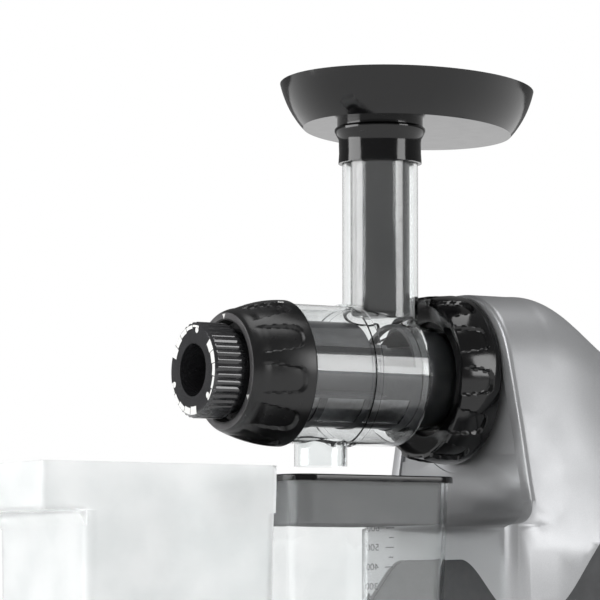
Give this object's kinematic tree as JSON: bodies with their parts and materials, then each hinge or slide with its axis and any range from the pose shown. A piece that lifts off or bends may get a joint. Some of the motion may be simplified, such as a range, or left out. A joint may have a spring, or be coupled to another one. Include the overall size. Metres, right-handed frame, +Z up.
{
  "type": "cold press juicer",
  "caption": "Horizontal slow juicer: silver housing, clear drum with auger, chute and tray, pressure dial, juice cup with lid and pulp bin.",
  "frame": {"origin": "on the floor, under the middle of the base", "axes": "+Z up, the drum points along -Y, +X is to the left of someone who faces the dial"},
  "size_m": [0.1916, 0.4797, 0.3339],
  "materials": {
    "silver_paint": "satin silver paint on moulded plastic",
    "dark_plastic": "fine matt dark grey",
    "black_gloss": "polished black",
    "black_satin": "satin black",
    "clear_plastic": "clear polished",
    "smoke_plastic": "smoky grey, polished",
    "frosted_plastic": "frosted translucent",
    "grey_plastic": "satin mid grey",
    "auger_plastic": "dense dark plastic, satin",
    "steel_mesh": "perforated stainless sheet",
    "rubber": "soft black",
    "shaft_steel": "ground",
    "gear_nylon": "natural nylon",
    "bush_bronze": "sintered bronze",
    "motor_iron": "laminated",
    "copper_wire": "enamelled copper",
    "bracket_metal": "die cast",
    "screw_steel": "zinc plated",
    "board_green": "circuit board with parts",
    "capacitor_white": "plain"
  },
  "bodies": {
    "housing": {"body_shell": "silver_paint", "front_panel": "silver_paint", "base_tray": "dark_plastic", "rubber_feet": "rubber", "drum_mount": "black_satin", "shaft_seal": "rubber", "drum": "clear_plastic", "drum_seal": "rubber", "juicing_screen": "auger_plastic", "screen_mesh": "steel_mesh", "intermediate_axle": "shaft_steel", "gearbox_case": "dark_plastic", "gearbox_cover": "dark_plastic", "shaft_bushes": "bush_bronze", "gearbox_screws": "screw_steel", "motor_stator": "motor_iron", "motor_windings": "copper_wire", "motor_front_bracket": "bracket_metal", "motor_rear_bracket": "bracket_metal", "motor_bearings": "bush_bronze", "motor_bolts": "screw_steel", "motor_cradle": "dark_plastic", "cradle_screws": "screw_steel", "switch_housing": "black_satin", "cord_inlet": "rubber", "circuit_board": "board_green", "run_capacitor": "capacitor_white"},
    "ring_body": {"locking_ring": "black_gloss"},
    "auger_body": {"auger": "auger_plastic", "drive_shaft": "shaft_steel", "output_gear": "gear_nylon"},
    "gear_body": {"intermediate_gear": "gear_nylon", "intermediate_pinion": "shaft_steel"},
    "rotor_body": {"motor_rotor": "motor_iron", "motor_shaft": "shaft_steel", "motor_pinion": "shaft_steel", "cooling_fan": "dark_plastic"},
    "cap_body": {"end_cap": "black_satin", "cap_bezel": "grey_plastic", "cap_seal": "rubber"},
    "dial_body": {"dial": "smoke_plastic", "dial_face": "smoke_plastic"},
    "nozzle_body": {"pressure_nozzle": "black_satin"},
    "tray_body": {"hopper_tray": "black_gloss"},
    "plunger_body": {"plunger_rod": "smoke_plastic", "plunger_handle": "black_gloss"},
    "switch_body": {"rocker_button": "black_satin"},
    "cup_body": {"juice_cup": "clear_plastic"},
    "lid_body": {"strainer_lid": "black_gloss", "strainer_mesh": "steel_mesh"},
    "bin_body": {"pulp_bin": "frosted_plastic"}
  },
  "joints": [
    {"name": "ring_turn", "type": "hinge", "parent": "housing", "child": "ring_body", "pos_m": [0, 0, 0.16], "axis": [0, 1, 0], "range_deg": [0, 60]},
    {"name": "auger_spin", "type": "hinge", "parent": "housing", "child": "auger_body", "pos_m": [0, 0, 0.16], "axis": [0, 1, 0], "continuous": true},
    {"name": "gear_spin", "type": "hinge", "parent": "housing", "child": "gear_body", "pos_m": [0.02121, 0, 0.12609], "axis": [0, 1, 0], "continuous": true},
    {"name": "motor_spin", "type": "hinge", "parent": "housing", "child": "rotor_body", "pos_m": [0, 0, 0.097], "axis": [0, 1, 0], "continuous": true},
    {"name": "cap_turn", "type": "hinge", "parent": "housing", "child": "cap_body", "pos_m": [0, 0, 0.16], "axis": [0, 1, 0], "range_deg": [0, 60]},
    {"name": "dial_turn", "type": "hinge", "parent": "cap_body", "child": "dial_body", "pos_m": [0, 0, 0.16], "axis": [0, 1, 0], "range_deg": [0, 100]},
    {"name": "nozzle_slide", "type": "slide", "parent": "cap_body", "child": "nozzle_body", "axis": [0, 1, 0], "range_m": [0, 0.003]},
    {"name": "tray_lift", "type": "slide", "parent": "housing", "child": "tray_body", "axis": [0, 0, 1], "range_m": [0, 0.022]},
    {"name": "plunger_slide", "type": "slide", "parent": "tray_body", "child": "plunger_body", "axis": [0, 0, 1], "range_m": [0, 0.12]},
    {"name": "switch_rock", "type": "hinge", "parent": "housing", "child": "switch_body", "pos_m": [-0.044, 0.095, 0.104], "axis": [1, 0, 0], "range_deg": [-11, 11]},
    {"name": "cup_slide", "type": "slide", "parent": "housing", "child": "cup_body", "axis": [1, 0, 0], "range_m": [0, 0.14]},
    {"name": "lid_lift", "type": "slide", "parent": "cup_body", "child": "lid_body", "axis": [0, 0, 1], "range_m": [0, 0.005]},
    {"name": "bin_slide", "type": "slide", "parent": "housing", "child": "bin_body", "axis": [0, -1, 0], "range_m": [0, 0.12]}
  ],
  "couplings": [
    {"joint": "gear_spin", "follows": "auger_spin", "ratio": -3.5714},
    {"joint": "motor_spin", "follows": "auger_spin", "ratio": 17.857},
    {"joint": "nozzle_slide", "follows": "dial_turn", "m_per_rad": 0.0017}
  ]
}
